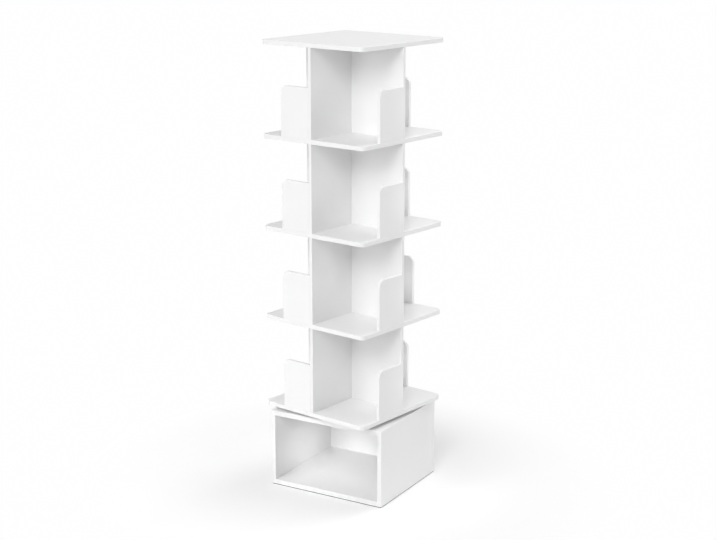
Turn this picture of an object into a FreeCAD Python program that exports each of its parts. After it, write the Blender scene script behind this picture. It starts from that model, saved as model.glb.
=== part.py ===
import FreeCAD, Part
import math
import os

# Rotating media tower: four tiers of pinwheel bays on a turntable above an open base box.
# Millimetres. The origin is on the floor under the middle of the base, +Z is up, and the
# open front of the base box faces -Y. The tower turns about Z and stands a little turned.

# ---------------------------------------------------------------- overall sizes
TOWER_SIDE = 460.0          # side of the square shelf boards
TOWER_CORNER = 20.0         # plan radius of their corners
TOWER_TURN = -9.1           # degrees that the tower stands turned from the base, about +Z
TIER_CLEAR = 314.0          # clear height of each tier
SHELF_THICKNESS = 16.0
SHELF_EDGE = 1.5            # rounding of the shelf boards' long edges

BASE_WIDTH = 464.0          # along X
BASE_DEPTH = 408.0          # along Y
BASE_HEIGHT = 286.0         # box only, without its foot strips
BASE_SIDE = 16.0            # thickness of the sides
BASE_BACK = 16.0            # thickness of the back panel
BASE_DECK = 18.0            # thickness of the top and bottom boards
BASE_OUTER_EDGE = 2.0       # rounding of the box's upright outer edges
BASE_EASE = 0.5             # rounding of the other edges of the box

# ---------------------------------------------------------------- tier panels and stops
PANEL_THICKNESS = 12.0      # upright panels
PANEL_EDGE = 1.0            # rounding of a panel's outer end
LEFT_SETBACK = 9.0          # the left panels and stops stand in from the shelves' edge
STOP_THICKNESS = 12.0       # low stops at the shelf edge
STOP_HEIGHT = 178.0
STOP_WIDE = 126.0           # front and right sides
STOP_NARROW = 66.0          # back and left sides
STOP_NARROW_TIER2 = 90.0    # back and left sides of the second tier
STOP_CORNER = 25.0          # top outer corner
STOP_EDGE = 1.2

SIDES = ("front", "right", "back", "left")
TIERS = ("tier1", "tier2", "tier3", "tier4")
BOARD_NAMES = ("bottom_shelf_board", "second_shelf_board", "third_shelf_board",
               "fourth_shelf_board", "top_board")

# ---------------------------------------------------------------- turntable
TURNTABLE_HEIGHT = 13.0     # from the top of the base to the underside of the tower
BALL_CIRCLE = 76.0          # radius of the ring of balls
BALL_RADIUS = 3.0
BALL_COUNT = 36
BALL_CLEARANCE = 0.2        # radial, ball to race
RACE_GAP = 4.0              # between the two rings' walls
RING_WALL = 8.0
RING_FLANGE_WIDTH = 18.0
RING_FLANGE = 3.0           # flange thickness
RING_AIR = 1.5              # from a ring's free edge to the board it does not touch
CAGE_WALL = 1.6
CAGE_HEIGHT = 7.6
CAGE_POCKET_CLEARANCE = 0.08
TURNTABLE_SCREWS = 6        # in each flange

# ---------------------------------------------------------------- fasteners
FIT = 0.05                  # radial clearance of every pin and screw in its hole
END_FIT = 0.4               # room beyond the end of a pin or screw in a blind hole
OVERCUT = 1.0               # how far a cut starts outside the solid it cuts
SAME_PLACE = 1e-6

FOOT_HEIGHT = 3.0           # black strips glued under the base box
FOOT_WIDTH = 12.0
FOOT_SETBACK = 2.0          # from the box's outer faces
FOOT_CORNER_GAP = 1.0       # between two strips at a corner
FOOT_EASE = 0.5

DOWEL_RADIUS = 4.0
DOWEL_IN_EDGE = 16.0        # depth in the edge of a board or panel
DOWEL_IN_FACE = 9.0         # depth in the face of a board
DOWEL_CHAMFER = 0.8
PANEL_DOWEL_INSET = 26.0    # from either end of a panel
PANEL_SCREW_INSET = 70.0

STOP_DOWEL_RADIUS = 3.0
STOP_DOWEL_IN_STOP = 15.0
STOP_DOWEL_IN_PANEL = 7.0
STOP_DOWEL_HEIGHT = 110.0   # above the shelf
STOP_SCREW_INSET = 16.0     # from either end of a stop

# Countersunk screws: shank radius, head radius, head height, length
PANEL_SCREW = (2.5, 4.6, 2.6, 50.0)
STOP_SCREW = (1.9, 3.4, 1.8, 40.0)
TOWER_RING_SCREW = (2.0, 3.6, 1.9, 14.0)
BASE_RING_SCREW_HEAD = (2.5, 4.6, 2.6)
SCREW_TIP = 3.0
SCREW_POINT_SHARE = 0.33    # radius at the end of the tip, of the shank's radius
SOCKET_DEPTH_SHARE = 0.7    # socket depth, of the head's height
SOCKET_WIDTH_SHARE = 0.45   # socket half width, of the head's radius

# Cam fittings: cam radius, cam axis to joint plane, thread radius, thread depth, neck radius,
# head radius
BASE_CAM = (7.4, 30.0, 2.5, 10.0, 2.0, 3.2)
PANEL_CAM = (5.9, 20.0, 2.5, 10.0, 1.6, 2.4)
CAM_END_WALL = 0.8          # cam beyond the pocket for the bolt's head
CAM_DRIVE_WIDTH = 1.0       # slot for the screwdriver
CAM_RECESS = 1.2            # from the board's face down to the cam
CAM_HEAD_LENGTH = 3.0
CAM_POCKET_ROOM = 0.3
CAP_FLANGE = 1.5            # the cap's flange beyond the cam's bore
CAP_THICKNESS = 0.8
CAP_PLUG = 1.0
CAP_BEVEL = 0.4
BASE_CAM_INSET = 60.0       # from the box's front and back
BASE_DOWEL_SPACING = 40.0   # from a cam bolt to the dowel beside it
BACK_DOWEL_INSET = 70.0     # from the back panel's lower and upper edge

# ---------------------------------------------------------------- worked-out levels
HALF = TOWER_SIDE / 2
BASE_HALF_WIDTH = BASE_WIDTH / 2
BASE_HALF_DEPTH = BASE_DEPTH / 2
BASE_INNER = BASE_HALF_WIDTH - BASE_SIDE
BASE_BOTTOM = FOOT_HEIGHT
BASE_TOP = BASE_BOTTOM + BASE_HEIGHT
BASE_DECKS = (BASE_BOTTOM, BASE_TOP - BASE_DECK)
TOWER_BOTTOM = BASE_TOP + TURNTABLE_HEIGHT
TIER_PITCH = TIER_CLEAR + SHELF_THICKNESS
BALL_LEVEL = BASE_TOP + TURNTABLE_HEIGHT / 2

X_AXIS = FreeCAD.Vector(1, 0, 0)
Y_AXIS = FreeCAD.Vector(0, 1, 0)
Z_AXIS = FreeCAD.Vector(0, 0, 1)
CENTRE = FreeCAD.Vector(0, 0, 0)


# ---------------------------------------------------------------- shape helpers
def block(low, high):
    """Box between two corners."""
    size = [high[i] - low[i] for i in range(3)]
    return Part.makeBox(size[0], size[1], size[2], FreeCAD.Vector(*low))


def rod(radius, start, length, direction):
    """Cylinder from a point along a direction."""
    return Part.makeCylinder(radius, length, FreeCAD.Vector(*start), direction)


def turned(outline):
    """Solid of revolution about Z from (radius, height) points."""
    points = [FreeCAD.Vector(radius, 0, height) for radius, height in outline]
    face = Part.Face(Part.makePolygon(points + points[:1]))
    return face.revolve(CENTRE, Z_AXIS, 360)


def edges_where(shape, keep):
    """Edges whose two ends both satisfy a test."""
    return [edge for edge in shape.Edges if all(keep(vertex.Point) for vertex in edge.Vertexes)]


def near(value, target):
    return abs(value - target) < SAME_PLACE


def turn(shape, degrees):
    """Copy of a shape turned about Z."""
    copy = shape.copy()
    copy.rotate(CENTRE, Z_AXIS, degrees)
    return copy


def move(shape, x, y, z):
    """Copy of a shape moved."""
    copy = shape.copy()
    copy.translate(FreeCAD.Vector(x, y, z))
    return copy


def export(name, solids, on_tower=False):
    """Write one node, turned with the tower if it belongs to it."""
    shape = solids[0] if len(solids) == 1 else Part.makeCompound(solids)
    if on_tower:
        shape = turn(shape, TOWER_TURN)
    shape.exportStep("parts/" + name + ".step")


# ---------------------------------------------------------------- fasteners
def dowel(radius, length):
    """Grooveless wooden dowel along Z from the origin, with chamfered ends."""
    tip = radius - DOWEL_CHAMFER
    return turned([(0, 0), (tip, 0), (radius, DOWEL_CHAMFER), (radius, length - DOWEL_CHAMFER),
                   (tip, length), (0, length)])


def countersunk_screw(shank, head, head_height, length, tip):
    """Screw along +Z with its flat head's top at the origin and a hexagonal socket."""
    end = shank * SCREW_POINT_SHARE if tip else shank
    screw = turned([(0, 0), (head, 0), (shank, head_height), (shank, length - tip),
                    (end, length), (0, length)])
    socket_width = head * SOCKET_WIDTH_SHARE
    corners = [FreeCAD.Vector(socket_width * math.cos(math.radians(60 * i)),
                              socket_width * math.sin(math.radians(60 * i)), 0) for i in range(7)]
    socket = Part.Face(Part.makePolygon(corners))
    return screw.cut(socket.extrude(Z_AXIS * head_height * SOCKET_DEPTH_SHARE))


def screw_hole(shank, head, head_height, length):
    """Hole for that screw along +Z, countersunk at the origin."""
    return turned([(0, 0), (head + FIT, 0), (shank + FIT, head_height + FIT),
                   (shank + FIT, length + END_FIT), (0, length + END_FIT)])


def cam_fitting(sizes, half_thickness):
    """Cam bolt, cam, cap and the two cuts they need, at the joint of two boards.

    The joint plane is X = 0. The bolt screws into the board on the -X side. The cam lies in
    the board on the +X side and opens on that board's lower face, at Z = -half_thickness.
    """
    cam_radius, reach, thread, thread_depth, neck, head = sizes
    head_start = reach - CAM_HEAD_LENGTH
    pocket_radius = head + CAM_POCKET_ROOM
    cam_low = CAM_RECESS - half_thickness
    cam_length = pocket_radius + CAM_END_WALL - cam_low
    bore = cam_radius + FIT

    bolt = turned([(0, -thread_depth), (thread, -thread_depth), (thread, 0), (neck, 0),
                   (neck, head_start), (head, head_start), (head, reach), (0, reach)])
    bolt.rotate(CENTRE, Y_AXIS, 90)

    cam = rod(cam_radius, (reach, 0, cam_low), cam_length, Z_AXIS)
    neck_slot = neck + CAM_POCKET_ROOM
    slot_start = reach - cam_radius - OVERCUT
    slot = block((slot_start, -neck_slot, -neck_slot), (reach, neck_slot, neck_slot))
    pocket = rod(pocket_radius, (head_start - CAM_POCKET_ROOM, 0, 0),
                 CAM_HEAD_LENGTH + 2 * CAM_POCKET_ROOM, X_AXIS)
    drive = block((reach - cam_radius / 2, -CAM_DRIVE_WIDTH / 2, cam_low),
                  (reach + cam_radius / 2, CAM_DRIVE_WIDTH / 2, cam_low + CAM_DRIVE_WIDTH))
    cam = cam.cut([slot, pocket, drive])

    rim = bore + CAP_FLANGE
    cap = turned([(0, -CAP_THICKNESS), (rim - CAP_BEVEL, -CAP_THICKNESS),
                  (rim, CAP_BEVEL - CAP_THICKNESS), (rim, 0),
                  (cam_radius - FIT, 0), (cam_radius - FIT, CAP_PLUG), (0, CAP_PLUG)])
    cap = move(cap, reach, 0, -half_thickness)

    cam_hole_depth = CAM_RECESS + cam_length + FIT
    cam_hole = rod(bore, (reach, 0, -half_thickness - OVERCUT), OVERCUT + cam_hole_depth, Z_AXIS)
    board_cut = cam_hole.fuse(rod(head + FIT, (-OVERCUT, 0, 0), reach + OVERCUT, X_AXIS))
    thread_hole_depth = thread_depth + END_FIT
    face_cut = rod(thread + FIT, (-thread_hole_depth, 0, 0), thread_hole_depth + OVERCUT, X_AXIS)
    return {"bolt": bolt, "cam": cam, "cap": cap, "board_cut": board_cut, "face_cut": face_cut}


def place(fitting, placement):
    """Copies of a fitting's shapes at a placement."""
    placed = {}
    for key, shape in fitting.items():
        copy = shape.copy()
        copy.Placement = placement.multiply(copy.Placement)
        placed[key] = copy
    return placed


# ---------------------------------------------------------------- base box
def base_fittings():
    """Cam fittings of the base: two at each end of its top and bottom boards."""
    fitting = cam_fitting(BASE_CAM, BASE_DECK / 2)
    placed = []
    for deck in BASE_DECKS:
        for end in (-1, 1):
            spin = FreeCAD.Rotation(Z_AXIS, 0 if end < 0 else 180)
            for y in (BASE_CAM_INSET - BASE_HALF_DEPTH, BASE_HALF_DEPTH - BASE_CAM_INSET):
                spot = FreeCAD.Vector(end * BASE_INNER, y, deck + BASE_DECK / 2)
                placed.append(place(fitting, FreeCAD.Placement(spot, spin)))
    return placed


def base_dowel_spots():
    """(end, y, z) of every dowel between a side of the base and a board or the back panel."""
    spots = []
    for end in (-1, 1):
        for deck in BASE_DECKS:
            for way in (-1, 1):
                y = way * (BASE_HALF_DEPTH - BASE_CAM_INSET - BASE_DOWEL_SPACING)
                spots.append((end, y, deck + BASE_DECK / 2))
        for z in (BASE_BOTTOM + BASE_DECK + BACK_DOWEL_INSET, BASE_TOP - BASE_DECK - BACK_DOWEL_INSET):
            spots.append((end, BASE_HALF_DEPTH - BASE_BACK / 2, z))
    return spots


def base_dowels():
    dowels = []
    for end, y, z in base_dowel_spots():
        pin = dowel(DOWEL_RADIUS, DOWEL_IN_FACE + DOWEL_IN_EDGE)
        pin.rotate(CENTRE, Y_AXIS, -90 * end)
        dowels.append(move(pin, end * (BASE_INNER + DOWEL_IN_FACE), y, z))
    return dowels


def base_dowel_holes():
    holes = []
    length = DOWEL_IN_FACE + DOWEL_IN_EDGE + 2 * END_FIT
    for end, y, z in base_dowel_spots():
        start = (end * (BASE_INNER + DOWEL_IN_FACE + END_FIT), y, z)
        holes.append(rod(DOWEL_RADIUS + FIT, start, length, X_AXIS * -end))
    return holes


def foot_strip(low_x, low_y, high_x, high_y):
    strip = block((low_x, low_y, 0), (high_x, high_y, FOOT_HEIGHT))
    return strip.makeFillet(FOOT_EASE, edges_where(strip, lambda p: p.z < FOOT_HEIGHT - SAME_PLACE))


def foot_strips():
    """Four strips glued under the box, a little back from its faces."""
    reach_x = BASE_HALF_WIDTH - FOOT_SETBACK
    reach_y = BASE_HALF_DEPTH - FOOT_SETBACK
    side_end = reach_y - FOOT_WIDTH - FOOT_CORNER_GAP
    return [foot_strip(-reach_x, -reach_y, reach_x, FOOT_WIDTH - reach_y),
            foot_strip(-reach_x, reach_y - FOOT_WIDTH, reach_x, reach_y),
            foot_strip(-reach_x, -side_end, FOOT_WIDTH - reach_x, side_end),
            foot_strip(reach_x - FOOT_WIDTH, -side_end, reach_x, side_end)]


def eased_block(low, high, outer_x=None):
    """Board of the base box: eased edges, and rounder upright edges on its outer face."""
    board = block(low, high)
    if outer_x is not None:
        upright = edges_where(board, lambda p: near(p.x, outer_x))
        upright = [edge for edge in upright if not near(edge.BoundBox.ZLength, 0)]
        board = board.makeFillet(BASE_OUTER_EDGE, upright)
        level = [edge for edge in board.Edges if near(edge.BoundBox.ZLength, 0)]
        return board.makeFillet(BASE_EASE, level)
    return board.makeFillet(BASE_EASE, board.Edges)


def base_side(end):
    """Full-height side of the box; end is -1 for the left side and 1 for the right."""
    low = (min(end * BASE_INNER, end * BASE_HALF_WIDTH), -BASE_HALF_DEPTH, BASE_BOTTOM)
    high = (max(end * BASE_INNER, end * BASE_HALF_WIDTH), BASE_HALF_DEPTH, BASE_TOP)
    return eased_block(low, high, outer_x=end * BASE_HALF_WIDTH)


def base_deck(bottom):
    """Top or bottom board, between the sides and over the whole depth."""
    low = (-BASE_INNER, -BASE_HALF_DEPTH, bottom)
    return eased_block(low, (BASE_INNER, BASE_HALF_DEPTH, bottom + BASE_DECK))


def base_back():
    low = (-BASE_INNER, BASE_HALF_DEPTH - BASE_BACK, BASE_BOTTOM + BASE_DECK)
    return eased_block(low, (BASE_INNER, BASE_HALF_DEPTH, BASE_TOP - BASE_DECK))


def ring_screw_spots(radius):
    """Places of the screws on a turntable flange, clear of the Y axis."""
    step = 360 / TURNTABLE_SCREWS
    angles = [math.radians(step * (i + 0.5)) for i in range(TURNTABLE_SCREWS)]
    return [(radius * math.cos(angle), radius * math.sin(angle)) for angle in angles]


def build_base():
    fittings = base_fittings()
    board_cuts = [fitting["board_cut"] for fitting in fittings]
    face_cuts = [fitting["face_cut"] for fitting in fittings]
    dowel_holes = base_dowel_holes()
    ring_holes = [move(base_ring_screw_hole(), x, y, BASE_TOP - BASE_DECK)
                  for x, y in ring_screw_spots(base_ring_screw_circle())]

    for name, end in (("base_left_side", -1), ("base_right_side", 1)):
        export(name, [base_side(end).cut(face_cuts + dowel_holes)])
    bottom = base_deck(BASE_BOTTOM).cut(board_cuts + dowel_holes)
    top = base_deck(BASE_TOP - BASE_DECK).cut(board_cuts + dowel_holes + ring_holes)
    export("base_bottom_board", [bottom])
    export("base_top_board", [top])
    export("base_back_panel", [base_back().cut(dowel_holes)])
    export("base_foot_strips", foot_strips())
    export("base_cam_bolts", [fitting["bolt"] for fitting in fittings])
    export("base_cams", [fitting["cam"] for fitting in fittings])
    export("base_cam_caps", [fitting["cap"] for fitting in fittings])
    export("base_dowels", base_dowels())


# ---------------------------------------------------------------- turntable
def base_ring_wall():
    """Inner and outer radius of the upright wall of the ring on the base."""
    outer = BALL_CIRCLE - RACE_GAP / 2
    return outer - RING_WALL, outer


def tower_ring_wall():
    """Inner and outer radius of the upright wall of the ring under the tower."""
    inner = BALL_CIRCLE + RACE_GAP / 2
    return inner, inner + RING_WALL


def base_ring_screw_circle():
    return base_ring_wall()[0] - RING_FLANGE_WIDTH / 2


def tower_ring_screw_circle():
    return tower_ring_wall()[1] + RING_FLANGE_WIDTH / 2


def base_ring_screw_length():
    """From the underside of the base's top board to the top of the flange."""
    return BASE_DECK + RING_FLANGE


def base_ring_screw_hole():
    return screw_hole(*BASE_RING_SCREW_HEAD, base_ring_screw_length())


def race():
    groove = Part.makeTorus(BALL_CIRCLE, BALL_RADIUS + BALL_CLEARANCE)
    return move(groove, 0, 0, BALL_LEVEL)


def base_ring():
    """Ring on the base: flange below and inside, wall with the race outside."""
    inner, outer = base_ring_wall()
    bore = inner - RING_FLANGE_WIDTH
    ring = turned([(bore, 0), (outer, 0), (outer, TURNTABLE_HEIGHT - RING_AIR),
                   (inner, TURNTABLE_HEIGHT - RING_AIR), (inner, RING_FLANGE), (bore, RING_FLANGE)])
    ring = move(ring, 0, 0, BASE_TOP)
    shank = BASE_RING_SCREW_HEAD[0]
    holes = [rod(shank + FIT, (x, y, BASE_TOP - OVERCUT), RING_FLANGE + 2 * OVERCUT, Z_AXIS)
             for x, y in ring_screw_spots(base_ring_screw_circle())]
    return ring.cut([race()] + holes)


def tower_ring():
    """Ring under the tower: flange above and outside, wall with the race inside."""
    inner, outer = tower_ring_wall()
    rim = outer + RING_FLANGE_WIDTH
    top = TURNTABLE_HEIGHT
    ring = turned([(inner, RING_AIR), (outer, RING_AIR), (outer, top - RING_FLANGE),
                   (rim, top - RING_FLANGE), (rim, top), (inner, top)])
    ring = move(ring, 0, 0, BASE_TOP)
    hole = screw_hole(*TOWER_RING_SCREW)
    holes = [move(hole, x, y, TOWER_BOTTOM - RING_FLANGE)
             for x, y in ring_screw_spots(tower_ring_screw_circle())]
    return ring.cut([race()] + holes)


def ball_spots():
    angles = [2 * math.pi * i / BALL_COUNT for i in range(BALL_COUNT)]
    return [FreeCAD.Vector(BALL_CIRCLE * math.cos(a), BALL_CIRCLE * math.sin(a), BALL_LEVEL) for a in angles]


def ball_cage():
    """Thin hoop between the rings with one round pocket for each ball."""
    inner = BALL_CIRCLE - CAGE_WALL / 2
    outer = BALL_CIRCLE + CAGE_WALL / 2
    low = BALL_LEVEL - CAGE_HEIGHT / 2
    hoop = turned([(inner, low), (outer, low), (outer, low + CAGE_HEIGHT), (inner, low + CAGE_HEIGHT)])
    pockets = []
    for spot in ball_spots():
        outward = FreeCAD.Vector(spot.x, spot.y, 0).normalize()
        start = spot - outward * CAGE_WALL
        pockets.append(rod(BALL_RADIUS + CAGE_POCKET_CLEARANCE, tuple(start), 2 * CAGE_WALL, outward))
    return hoop.cut(pockets)


def build_turntable():
    base_screw = countersunk_screw(*BASE_RING_SCREW_HEAD, base_ring_screw_length(), 0)
    tower_screw = countersunk_screw(*TOWER_RING_SCREW, SCREW_TIP)
    export("turntable_base_ring", [base_ring()])
    export("turntable_base_screws", [move(base_screw, x, y, BASE_TOP - BASE_DECK)
                                     for x, y in ring_screw_spots(base_ring_screw_circle())])
    export("turntable_balls", [Part.makeSphere(BALL_RADIUS, spot) for spot in ball_spots()], on_tower=True)
    export("turntable_ball_cage", [ball_cage()], on_tower=True)
    export("turntable_tower_ring", [tower_ring()], on_tower=True)
    export("turntable_tower_screws", [move(tower_screw, x, y, TOWER_BOTTOM - RING_FLANGE)
                                      for x, y in ring_screw_spots(tower_ring_screw_circle())],
           on_tower=True)


# ---------------------------------------------------------------- tower
def shelf_bottom(level):
    """Underside of a shelf board, counted from 0 at the bottom board."""
    return TOWER_BOTTOM + level * TIER_PITCH


def tier_bottom(tier):
    """Top of the shelf that a tier stands on."""
    return shelf_bottom(tier) + SHELF_THICKNESS


def stop_width(side, tier):
    if side in ("front", "right"):
        return STOP_WIDE
    return STOP_NARROW_TIER2 if tier == 1 else STOP_NARROW


def reach(side):
    """From the middle to the outer face of a side's panels and stops."""
    return HALF - LEFT_SETBACK if side == "left" else HALF


def around(shape, side):
    """Turn a front-side shape to its own side of the pinwheel."""
    return turn(shape, 90 * SIDES.index(side))


def panel_dowel_ends(level):
    """Lowest and highest point of the dowels that pass a shelf board."""
    bottom = shelf_bottom(level)
    low = bottom + SHELF_THICKNESS - DOWEL_IN_FACE if level == 0 else bottom - DOWEL_IN_EDGE
    high = bottom + DOWEL_IN_FACE if level == len(TIERS) else bottom + SHELF_THICKNESS + DOWEL_IN_EDGE
    return low, high


def along_panel(side, inset):
    """Two Y places on a front-side panel, the inset from its outer and its inner end."""
    return (inset - reach(side), -inset)


def level_dowels(side, level):
    """Front-side dowels that hold the panels in line through one shelf board, and their holes."""
    low, high = panel_dowel_ends(level)
    pins = []
    holes = []
    for y in along_panel(side, PANEL_DOWEL_INSET):
        pins.append(move(dowel(DOWEL_RADIUS, high - low), -PANEL_THICKNESS / 2, y, low))
        start = (-PANEL_THICKNESS / 2, y, low - END_FIT)
        holes.append(rod(DOWEL_RADIUS + FIT, start, high - low + 2 * END_FIT, Z_AXIS))
    return pins, holes


def level_screws(side, level):
    """Front-side screws up through a shelf board into the panel above, and their holes."""
    screw = countersunk_screw(*PANEL_SCREW, SCREW_TIP)
    hole = screw_hole(*PANEL_SCREW)
    spots = [(-PANEL_THICKNESS / 2, y, shelf_bottom(level)) for y in along_panel(side, PANEL_SCREW_INSET)]
    return [move(screw, *spot) for spot in spots], [move(hole, *spot) for spot in spots]


def panel_cam(side, level):
    """Front-side cam fitting at the top of a panel, under the shelf board of that level.

    The caps of every tier look into its left-front and right-back bays only, so the other two
    bays show plain faces.
    """
    fitting = cam_fitting(PANEL_CAM, PANEL_THICKNESS / 2)
    down = FreeCAD.Rotation(Y_AXIS, 90)
    facing = FreeCAD.Rotation(Z_AXIS, 0 if side in ("front", "back") else 180)
    spot = FreeCAD.Vector(-PANEL_THICKNESS / 2, -HALF / 2, shelf_bottom(level))
    return place(fitting, FreeCAD.Placement(spot, facing.multiply(down)))


def stop_fixings(side, tier):
    """Front-side screws and dowel of one stop with their holes, for that stop's own width."""
    width = stop_width(side, tier)
    shelf = shelf_bottom(tier)
    y = STOP_THICKNESS / 2 - reach(side)
    screw = countersunk_screw(*STOP_SCREW, SCREW_TIP)
    hole = screw_hole(*STOP_SCREW)
    spots = [(-PANEL_THICKNESS - inset, y, shelf) for inset in (STOP_SCREW_INSET, width - STOP_SCREW_INSET)]
    pin = dowel(STOP_DOWEL_RADIUS, STOP_DOWEL_IN_STOP + STOP_DOWEL_IN_PANEL)
    pin.rotate(CENTRE, Y_AXIS, -90)
    z = tier_bottom(tier) + STOP_DOWEL_HEIGHT
    pin = move(pin, STOP_DOWEL_IN_PANEL - PANEL_THICKNESS, y, z)
    start = (STOP_DOWEL_IN_PANEL + END_FIT - PANEL_THICKNESS, y, z)
    length = STOP_DOWEL_IN_STOP + STOP_DOWEL_IN_PANEL + 2 * END_FIT
    pin_hole = rod(STOP_DOWEL_RADIUS + FIT, start, length, X_AXIS * -1)
    return {"screws": [move(screw, *spot) for spot in spots],
            "screw_holes": [move(hole, *spot) for spot in spots],
            "pin": pin,
            "pin_hole": pin_hole}


def shelf_blank(level):
    """Square board with round corners and rounded long edges."""
    bottom = shelf_bottom(level)
    board = block((-HALF, -HALF, bottom), (HALF, HALF, bottom + SHELF_THICKNESS))
    upright = [edge for edge in board.Edges if near(edge.BoundBox.ZLength, SHELF_THICKNESS)]
    board = board.makeFillet(TOWER_CORNER, upright)
    rim = [edge for edge in board.Edges if near(edge.BoundBox.ZLength, 0)]
    return board.makeFillet(SHELF_EDGE, rim)


def shelf_board(level):
    """Shelf board with the holes for everything that fixes to it."""
    cuts = []
    for side in SIDES:
        cuts += [around(hole, side) for hole in level_dowels(side, level)[1]]
        if level > 0:
            cuts.append(around(panel_cam(side, level)["face_cut"], side))
        if level < len(TIERS):
            cuts += [around(hole, side) for hole in level_screws(side, level)[1]]
            cuts += [around(hole, side) for hole in stop_fixings(side, level)["screw_holes"]]
    if level == 0:
        ring_hole = screw_hole(*TOWER_RING_SCREW)
        cuts += [move(ring_hole, x, y, TOWER_BOTTOM - RING_FLANGE)
                 for x, y in ring_screw_spots(tower_ring_screw_circle())]
    return shelf_blank(level).cut(cuts)


def panel(side, tier):
    """Upright panel from near the shelf's edge to the middle, where it meets its neighbour's face."""
    board = block((-PANEL_THICKNESS, -reach(side), tier_bottom(tier)), (0, 0, shelf_bottom(tier + 1)))
    outer = edges_where(board, lambda p: near(p.y, -reach(side)))
    outer = [edge for edge in outer if near(edge.BoundBox.ZLength, TIER_CLEAR)]
    board = board.makeFillet(PANEL_EDGE, outer)
    cuts = level_dowels(side, tier)[1] + level_dowels(side, tier + 1)[1] + level_screws(side, tier)[1]
    cuts.append(panel_cam(side, tier + 1)["board_cut"])
    cuts.append(stop_fixings(side, tier)["pin_hole"])
    return around(board.cut(cuts), side)


def stop(side, tier):
    """Low stop on the shelf's edge, beside the panel, with one round top corner."""
    width = stop_width(side, tier)
    outer_x = -PANEL_THICKNESS - width
    bottom = tier_bottom(tier)
    top = bottom + STOP_HEIGHT
    outer_y = -reach(side)
    board = block((outer_x, outer_y, bottom), (-PANEL_THICKNESS, outer_y + STOP_THICKNESS, top))
    corner = edges_where(board, lambda p: near(p.x, outer_x) and near(p.z, top))
    board = board.makeFillet(STOP_CORNER, corner)
    rim = [edge for edge in board.Edges if near(edge.BoundBox.YLength, 0)]
    rim = [edge for edge in rim if edge.BoundBox.ZMin > bottom or edge.BoundBox.ZLength > STOP_EDGE]
    rim = [edge for edge in rim if edge.BoundBox.XMin < -PANEL_THICKNESS - STOP_EDGE]
    board = board.makeFillet(STOP_EDGE, rim)
    fixings = stop_fixings(side, tier)
    return around(board.cut(fixings["screw_holes"] + [fixings["pin_hole"]]), side)


def build_tower():
    for level, name in enumerate(BOARD_NAMES):
        export(name, [shelf_board(level)], on_tower=True)

    stop_screws = []
    stop_dowels = []
    screws = []
    fittings = []
    for tier, tier_name in enumerate(TIERS):
        for side in SIDES:
            export(tier_name + "_" + side + "_panel", [panel(side, tier)], on_tower=True)
            export(tier_name + "_" + side + "_stop", [stop(side, tier)], on_tower=True)
            fixings = stop_fixings(side, tier)
            stop_screws += [around(screw, side) for screw in fixings["screws"]]
            stop_dowels.append(around(fixings["pin"], side))
            screws += [around(screw, side) for screw in level_screws(side, tier)[0]]
            cam = panel_cam(side, tier + 1)
            fittings.append({key: around(cam[key], side) for key in ("bolt", "cam", "cap")})

    dowels = []
    for level in range(len(BOARD_NAMES)):
        for side in SIDES:
            dowels += [around(pin, side) for pin in level_dowels(side, level)[0]]

    export("panel_screws", screws, on_tower=True)
    export("panel_dowels", dowels, on_tower=True)
    export("panel_cam_bolts", [fitting["bolt"] for fitting in fittings], on_tower=True)
    export("panel_cams", [fitting["cam"] for fitting in fittings], on_tower=True)
    export("panel_cam_caps", [fitting["cap"] for fitting in fittings], on_tower=True)
    export("stop_screws", stop_screws, on_tower=True)
    export("stop_dowels", stop_dowels, on_tower=True)


os.makedirs("parts", exist_ok=True)
build_base()
build_turntable()
build_tower()
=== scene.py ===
import math

import bpy
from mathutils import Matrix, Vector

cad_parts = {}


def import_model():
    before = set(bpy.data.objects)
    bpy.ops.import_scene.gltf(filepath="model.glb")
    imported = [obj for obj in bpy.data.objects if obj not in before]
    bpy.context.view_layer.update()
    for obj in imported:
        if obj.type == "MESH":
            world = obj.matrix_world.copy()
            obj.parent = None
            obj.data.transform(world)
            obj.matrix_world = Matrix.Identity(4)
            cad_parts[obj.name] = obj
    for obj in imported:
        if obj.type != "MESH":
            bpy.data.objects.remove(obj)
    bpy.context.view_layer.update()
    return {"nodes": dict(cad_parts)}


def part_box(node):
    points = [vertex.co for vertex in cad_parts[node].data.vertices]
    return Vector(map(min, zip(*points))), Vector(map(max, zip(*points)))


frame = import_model()

# Rotating media tower in satin white lacquered board. Metres, degrees and watts, in the row frame.

# ---------------------------------------------------------------- camera, fitted to the photograph
PHOTO_WIDTH = 716           # pixels
SENSOR_WIDTH = 36.0         # mm
FOCAL_PIXELS = 1494.9
CAMERA_DISTANCE = 5.257     # along the floor, from the tower's axis
CAMERA_HEIGHT = 2.130
CAMERA_AZIMUTH = 30.44      # from the front of the base towards its right side
CAMERA_YAW = 0.166          # the view is turned this far to the right of the tower's axis
CAMERA_PITCH = 14.161       # downwards

# ---------------------------------------------------------------- studio
FLOOR_HALF = 60.0
FLOOR_ALBEDO = 0.93         # for the light that the floor gives back
FLOOR_SEEN = 1.06           # what is seen of it: 1 where nothing shades it
PAPER_CLOUD = 0.994         # its faint cloudiness
FLOOR_NEAR = 0.40           # from this radius the seen floor fades to the backdrop's white
FLOOR_FAR = 1.00
BACKDROP_WHITE = 0.995
AMBIENT = 0.345             # world strength for everything but camera, gloss and glass rays

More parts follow.
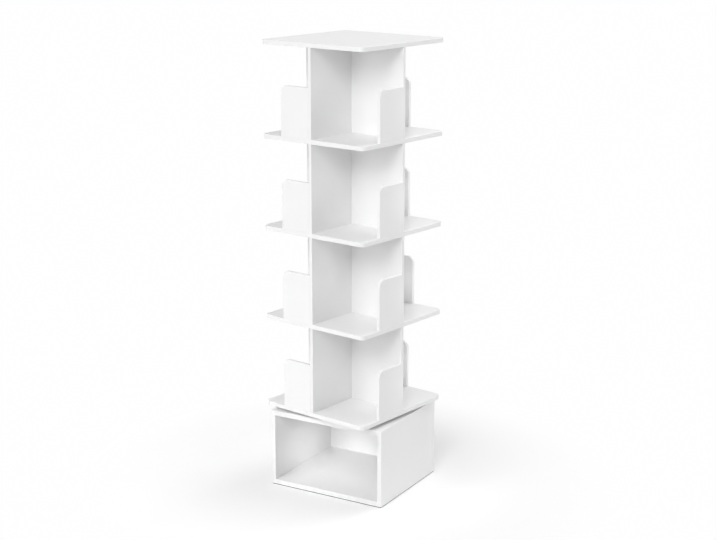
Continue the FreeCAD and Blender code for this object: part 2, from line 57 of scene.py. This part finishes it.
HEART = (0.0, 0.0, 0.85)            # middle of the tower
UPPER_TIERS = (0.0, 0.0, 1.15)
FRONT_LEFT_FLOOR = (-0.55, -0.95, 0.0)
SOFT_BOXES = {
    # name: aim, azimuth from the front towards the right, elevation, distance,
    #       (width, height), beam, watts
    "key": (UPPER_TIERS, 15, 32, 5.0, (2.0, 2.0), 45, 7.1),
    "front_fill": (HEART, -15, 20, 5.0, (2.5, 2.5), 180, 62.0),
    "back": (HEART, 150, 45, 5.0, (2.5, 2.5), 180, 88.0),
    "right": (HEART, 110, 20, 5.0, (2.5, 2.5), 180, 39.0),
    "floor_wash": (FRONT_LEFT_FLOOR, -30, 63, 2.46, (1.0, 1.0), 60, 3.2),
}

SPOT_RADIUS = 0.06
SPOT_DISTANCE = 3.0
SPOT_SOFTNESS = 1.0         # the beam fades from its middle to its edge
MOUTH_CONE = 4.9            # narrow spots shine into the base's open front
MOUTH_SPOTS = {
    # name: metres to the right of the mouth's middle, azimuth, elevation, watts
    "spot_left": (-0.10, 0, 10, 60.0),
    "spot_middle": (0.08, 10, 10, 45.0),
    "spot_high_left": (-0.09, 10, 24, 108.0),
    "spot_high_right": (0.08, 20, 24, 108.0),
    "spot_right": (-0.01, 44, 14, 150.0),
}
STOP_CONE = 3.9             # one more in each tier reaches the back stop past the right panel
STOP_AZIMUTH = 36
STOP_ELEVATION = 4
STOP_WATTS = {"tier1": 88.0, "tier2": 115.0, "tier3": 102.0, "tier4": 66.0}

# ---------------------------------------------------------------- colours, as a darker and a lighter shade
LACQUER = ((0.910, 0.910, 0.910), (0.925, 0.925, 0.925))
CAP_PLASTIC = ((0.895, 0.894, 0.890), (0.912, 0.911, 0.908))
# the foam's near-black also serves as painted shade in the gap under the base
FOAM_AS_GAP_SHADE = ((0.026, 0.026, 0.027), (0.040, 0.040, 0.041))
BEECH = ((0.46, 0.31, 0.17), (0.60, 0.43, 0.26))
NYLON = ((0.67, 0.65, 0.57), (0.73, 0.71, 0.64))
ZINC_PLATE = ((0.55, 0.56, 0.58), (0.68, 0.68, 0.68))
DIE_CAST_ZINC = ((0.40, 0.41, 0.43), (0.50, 0.50, 0.52))
ALUMINIUM = ((0.66, 0.67, 0.69), (0.76, 0.76, 0.77))
POLISHED_STEEL = ((0.60, 0.61, 0.62), (0.66, 0.66, 0.66))

LACQUER_GRAIN = (0.890, 0.890, 0.890)
LACQUER_GRAIN_SHARE = 0.12  # the most of it that shows
BEECH_FLECK = (0.35, 0.21, 0.11)
BEECH_FLECK_SHARE = 0.35

# ---------------------------------------------------------------- grain
EVEN = (1.0, 1.0, 1.0)              # scale of a noise along X, Y and Z: small is drawn out
ALONG_GRAIN = (1.0, 1.0, 0.06)
SHORT_FLECKS = (1.0, 1.0, 0.12)
TURNED = (0.08, 0.08, 1.0)          # marks that run round the ring
METALS = {
    # slot: name, shades, roughness from and to, stretch of the marks
    "fastener_steel": ("fastener_zinc_plate", ZINC_PLATE, (0.28, 0.42), EVEN),
    "cam_zinc": ("cam_die_cast_zinc", DIE_CAST_ZINC, (0.45, 0.6), EVEN),
    "ring_aluminium": ("ring_turned_aluminium", ALUMINIUM, (0.26, 0.38), TURNED),
    "ball_steel": ("ball_polished_steel", POLISHED_STEEL, (0.06, 0.1), EVEN),
}

NOISE_RANGE = (0.3, 0.7)            # most of a noise texture lies in it
MIX_FACTOR, MIX_FIRST, MIX_SECOND, MIX_RESULT = 0, 6, 7, 2      # the Mix node's sockets for colours


# ---------------------------------------------------------------- node helpers
def math_node(tree, operation, first, second):
    """Reckon with two values, each a float or another node's output."""
    node = tree.nodes.new("ShaderNodeMath")
    node.operation = operation
    for socket, value in zip(node.inputs, (first, second)):
        if isinstance(value, float):
            socket.default_value = value
        else:
            tree.links.new(value, socket)
    return node.outputs[0]


def seen_directly(tree):
    """1 for camera, glossy and transmission rays, 0 for the light that the scene itself gives."""
    ray = tree.nodes.new("ShaderNodeLightPath").outputs
    seen = math_node(tree, "MAXIMUM", ray["Is Camera Ray"], ray["Is Glossy Ray"])
    return math_node(tree, "MAXIMUM", seen, ray["Is Transmission Ray"])


class Finish:
    """A node material: object coordinates in, one principled shader out."""

    def __init__(self, name):
        self.material = bpy.data.materials.new(name)
        self.material.use_nodes = True
        self.tree = self.material.node_tree
        self.shader = self.tree.nodes["Principled BSDF"]
        self.coordinates = self.add("ShaderNodeTexCoord").outputs["Object"]

    def add(self, kind, **settings):
        node = self.tree.nodes.new(kind)
        for name, value in settings.items():
            setattr(node, name, value)
        return node

    def link(self, source, target):
        self.tree.links.new(source, target)

    def constants(self, **values):
        """Set the shader's own sockets; an underscore stands for a space."""
        for name, value in values.items():
            self.shader.inputs[name.replace("_", " ")].default_value = value

    def noise(self, scale, detail=2.0, stretch=EVEN):
        """Noise of about scale grains in a metre."""
        mapping = self.add("ShaderNodeMapping")
        mapping.inputs["Scale"].default_value = stretch
        texture = self.add("ShaderNodeTexNoise")
        texture.inputs["Scale"].default_value = scale
        texture.inputs["Detail"].default_value = detail
        self.link(self.coordinates, mapping.inputs["Vector"])
        self.link(mapping.outputs["Vector"], texture.inputs["Vector"])
        return texture.outputs["Fac"]

    def spread(self, value, low=0.0, high=1.0):
        """Map a noise to the range from low to high."""
        node = self.add("ShaderNodeMapRange")
        node.inputs["From Min"].default_value, node.inputs["From Max"].default_value = NOISE_RANGE
        node.inputs["To Min"].default_value = low
        node.inputs["To Max"].default_value = high
        self.link(value, node.inputs["Value"])
        return node.outputs["Result"]

    def times(self, value, share):
        return math_node(self.tree, "MULTIPLY", value, share)

    def plus(self, first, second):
        return math_node(self.tree, "ADD", first, second)

    def blend(self, factor, first, second):
        """Mix two colours, each a tuple or a node's output, by a factor."""
        node = self.add("ShaderNodeMix", data_type="RGBA")
        for place, value in ((MIX_FIRST, first), (MIX_SECOND, second)):
            if isinstance(value, tuple):
                node.inputs[place].default_value = (*value, 1.0)
            else:
                self.link(value, node.inputs[place])
        self.link(factor, node.inputs[MIX_FACTOR])
        return node.outputs[MIX_RESULT]

    def bump(self, height, depth, strength=1.0, below=None):
        """Bump of a real depth in metres, on top of another bump if one is given."""
        node = self.add("ShaderNodeBump")
        node.inputs["Strength"].default_value = strength
        node.inputs["Distance"].default_value = depth
        self.link(height, node.inputs["Height"])
        if below is not None:
            self.link(below, node.inputs["Normal"])
        return node.outputs["Normal"]

    def mix_shaders(self, factor, first, second):
        node = self.add("ShaderNodeMixShader")
        self.link(factor, node.inputs[0])
        self.link(first.outputs[0], node.inputs[1])
        self.link(second.outputs[0], node.inputs[2])
        return node

    def finish(self, colour=None, roughness=None, normal=None):
        for value, name in ((colour, "Base Color"), (roughness, "Roughness"), (normal, "Normal")):
            if value is not None:
                self.link(value, self.shader.inputs[name])
        return self.material


# ---------------------------------------------------------------- finishes
def white_board():
    """Satin lacquer sprayed on board: cloudy tone, slight orange peel with a fine nap on it."""
    f = Finish("white_board_lacquer")
    f.constants(Metallic=0.0, IOR=1.47, Specular_IOR_Level=0.42, Coat_Weight=0.12, Coat_Roughness=0.22)
    cloud = f.spread(f.noise(5.0, detail=3.0))
    grain = f.spread(f.noise(420.0))
    tone = f.blend(f.times(grain, LACQUER_GRAIN_SHARE), f.blend(cloud, *LACQUER), LACQUER_GRAIN)
    broad_sheen = f.spread(f.noise(28.0, detail=4.0), 0.36, 0.43)
    fine_sheen = f.spread(f.noise(900.0), -0.02, 0.02)
    peel = f.bump(f.noise(260.0, detail=1.0), depth=0.00012, strength=0.6)
    nap = f.bump(f.noise(1500.0), depth=0.00003, strength=0.5, below=peel)
    return f.finish(tone, f.plus(broad_sheen, fine_sheen), nap)


def white_plastic():
    """Moulded caps: very fine spark-eroded grain."""
    f = Finish("white_plastic_grain")
    f.constants(Metallic=0.0, IOR=1.46, Specular_IOR_Level=0.4)
    tone = f.blend(f.spread(f.noise(60.0)), *CAP_PLASTIC)
    rough = f.spread(f.noise(700.0), 0.44, 0.54)
    return f.finish(tone, rough, f.bump(f.noise(2600.0, detail=1.0), depth=0.00003, strength=0.6))


def foot_rubber():
    """Black foam rubber strip under the base: its near-black is painted shade for the dark line in the gap
    under the base. Fine open cells, a little dusty.
    """
    f = Finish("foot_rubber_painted_gap_shade")
    f.constants(Metallic=0.0, IOR=1.5, Specular_IOR_Level=0.25)
    # near-black tone: painted shade for the gap under the base, with a little random variation
    tone = f.blend(f.spread(f.noise(180.0, detail=4.0)), *FOAM_AS_GAP_SHADE)
    rough = f.spread(f.noise(420.0, detail=3.0), 0.7, 0.85)
    return f.finish(tone, rough, f.bump(f.noise(2200.0), depth=0.00008, strength=0.8))


def dowel_wood():
    """Raw beech: long grain with short darker flecks."""
    f = Finish("dowel_beech")
    f.constants(Metallic=0.0, IOR=1.45, Specular_IOR_Level=0.25)
    rings = f.spread(f.noise(300.0, detail=4.0, stretch=ALONG_GRAIN))
    flecks = f.spread(f.noise(1300.0, detail=1.0, stretch=SHORT_FLECKS))
    tone = f.blend(f.times(flecks, BEECH_FLECK_SHARE), f.blend(rings, *BEECH), BEECH_FLECK)
    return f.finish(tone, f.spread(rings, 0.6, 0.75), f.bump(flecks, depth=0.00006, strength=0.6))


def cage_plastic():
    """Natural nylon: a little milky."""
    f = Finish("cage_nylon")
    f.constants(Metallic=0.0, IOR=1.53, Specular_IOR_Level=0.45,
                Subsurface_Weight=0.15, Subsurface_Radius=(0.002, 0.0018, 0.0014))
    tone = f.blend(f.spread(f.noise(120.0)), *NYLON)
    rough = f.spread(f.noise(500.0), 0.4, 0.5)
    return f.finish(tone, rough, f.bump(f.noise(1700.0), depth=0.00003, strength=0.5))


def metal(name, shades, roughness, stretch):
    """A metal with fine marks in its sheen and surface."""
    f = Finish(name)
    f.constants(Metallic=1.0)
    marks = f.noise(2200.0, detail=3.0, stretch=stretch)
    tone = f.blend(f.spread(f.noise(90.0, detail=3.0)), *shades)
    return f.finish(tone, f.spread(marks, *roughness), f.bump(marks, depth=0.00002, strength=0.5))


def dress_frame():
    """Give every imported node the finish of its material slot."""
    finishes = {
        "white_board": white_board(),
        "white_plastic": white_plastic(),
        "foot_rubber": foot_rubber(),
        "dowel_wood": dowel_wood(),
        "cage_plastic": cage_plastic(),
    }
    for slot, facts in METALS.items():
        finishes[slot] = metal(*facts)
    for node in frame["nodes"].values():
        node.data.materials[0] = finishes[node.data.materials[0].name.split(".")[0]]


# ---------------------------------------------------------------- floor and backdrop
def floor():
    """Plain white floor that shows the object's shadow and meets the backdrop without a line."""
    mesh = bpy.data.meshes.new("studio_floor")
    corners = [(x * FLOOR_HALF, y * FLOOR_HALF, 0.0) for x, y in ((-1, -1), (1, -1), (1, 1), (-1, 1))]
    mesh.from_pydata(corners, [], [(0, 1, 2, 3)])
    plane = bpy.data.objects.new("studio_floor", mesh)
    bpy.context.scene.collection.objects.link(plane)
    mesh.materials.append(floor_paper())


def floor_paper():
    """Matt white. What is seen of it fades to the backdrop's white away from the object."""
    f = Finish("studio_floor_paper")
    f.constants(Metallic=0.0, Specular_IOR_Level=0.0)
    f.finish(paper_tone(f, FLOOR_ALBEDO), f.spread(f.noise(40.0), 0.85, 0.95))

    near = f.add("ShaderNodeBsdfDiffuse")
    f.link(paper_tone(f, FLOOR_SEEN), near.inputs["Color"])
    backdrop = f.add("ShaderNodeEmission")
    backdrop.inputs["Color"].default_value = (BACKDROP_WHITE,) * 3 + (1.0,)
    look = f.mix_shaders(radius_fade(f, FLOOR_NEAR, FLOOR_FAR), near, backdrop)
    split = f.mix_shaders(seen_directly(f.tree), f.shader, look)
    f.link(split.outputs[0], f.tree.nodes["Material Output"].inputs["Surface"])
    return f.material


def paper_tone(f, white):
    return f.blend(f.noise(3.0), (white,) * 3, (white * PAPER_CLOUD,) * 3)


def radius_fade(f, near, far):
    """0 within the near radius of the tower's axis, 1 beyond the far one."""
    distance = f.add("ShaderNodeVectorMath", operation="LENGTH")
    f.link(f.coordinates, distance.inputs[0])
    fade = f.add("ShaderNodeMapRange", interpolation_type="SMOOTHSTEP")
    fade.inputs["From Min"].default_value = near
    fade.inputs["From Max"].default_value = far
    f.link(distance.outputs["Value"], fade.inputs["Value"])
    return fade.outputs["Result"]


def world():
    """White to look at, dimmer as a light."""
    sky = bpy.data.worlds.new("studio_world")
    sky.use_nodes = True
    bpy.context.scene.world = sky
    tree = sky.node_tree
    background = tree.nodes["Background"]
    background.inputs["Color"].default_value = (1.0, 1.0, 1.0, 1.0)
    lift = math_node(tree, "MULTIPLY", seen_directly(tree), BACKDROP_WHITE - AMBIENT)
    tree.links.new(math_node(tree, "ADD", lift, AMBIENT), background.inputs["Strength"])


# ---------------------------------------------------------------- lamps
def hang(light, aim, azimuth, elevation, distance):
    """Put a lamp on a sphere around the point it is aimed at."""
    holder = bpy.data.objects.new(light.name, light)
    bpy.context.scene.collection.objects.link(holder)
    turn, rise = math.radians(azimuth), math.radians(elevation)
    flat = distance * math.cos(rise)
    holder.location = (aim[0] + flat * math.sin(turn), aim[1] - flat * math.cos(turn),
                       aim[2] + distance * math.sin(rise))
    holder.rotation_euler = (math.pi / 2 - rise, 0.0, turn)


def soft_box(name, aim, azimuth, elevation, distance, size, beam, watts):
    light = bpy.data.lights.new("studio_" + name, "AREA")
    light.shape = "RECTANGLE"
    light.size, light.size_y = size
    light.spread = math.radians(beam)
    light.energy = watts
    hang(light, aim, azimuth, elevation, distance)


def spot(name, aim, azimuth, elevation, cone, watts):
    light = bpy.data.lights.new("studio_" + name, "SPOT")
    light.shadow_soft_size = SPOT_RADIUS
    light.spot_size = math.radians(cone)
    light.spot_blend = SPOT_SOFTNESS
    light.energy = watts
    hang(light, aim, azimuth, elevation, SPOT_DISTANCE)


def base_mouth(sideways):
    """Point in the base's open front, at half height."""
    low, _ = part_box("base_bottom_board")
    _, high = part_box("base_top_board")
    return (sideways, low[1], (low[2] + high[2]) / 2)


def back_stop_end(tier):
    """Point at half height beside the free end of a tier's back stop."""
    low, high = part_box(tier + "_back_stop")
    return (high[0], (low[1] + high[1]) / 2, (low[2] + high[2]) / 2)


def lamps():
    for name, settings in SOFT_BOXES.items():
        soft_box(name, *settings)
    for name, (sideways, azimuth, elevation, watts) in MOUTH_SPOTS.items():
        spot(name, base_mouth(sideways), azimuth, elevation, MOUTH_CONE, watts)
    for tier, watts in STOP_WATTS.items():
        spot("spot_" + tier, back_stop_end(tier), STOP_AZIMUTH, STOP_ELEVATION, STOP_CONE, watts)


# ---------------------------------------------------------------- camera
def camera():
    lens = bpy.data.cameras.new("photo_camera")
    lens.sensor_width = SENSOR_WIDTH
    lens.lens = FOCAL_PIXELS * SENSOR_WIDTH / PHOTO_WIDTH
    lens.clip_end = 2 * FLOOR_HALF
    holder = bpy.data.objects.new("photo_camera", lens)
    bpy.context.scene.collection.objects.link(holder)
    azimuth = math.radians(CAMERA_AZIMUTH)
    holder.location = (CAMERA_DISTANCE * math.sin(azimuth), -CAMERA_DISTANCE * math.cos(azimuth),
                       CAMERA_HEIGHT)
    holder.rotation_euler = (math.radians(90 - CAMERA_PITCH), 0.0,
                             math.radians(CAMERA_AZIMUTH - CAMERA_YAW))
    bpy.context.scene.camera = holder


dress_frame()
floor()
world()
lamps()
camera()
bpy.context.scene.view_settings.view_transform = "Standard"
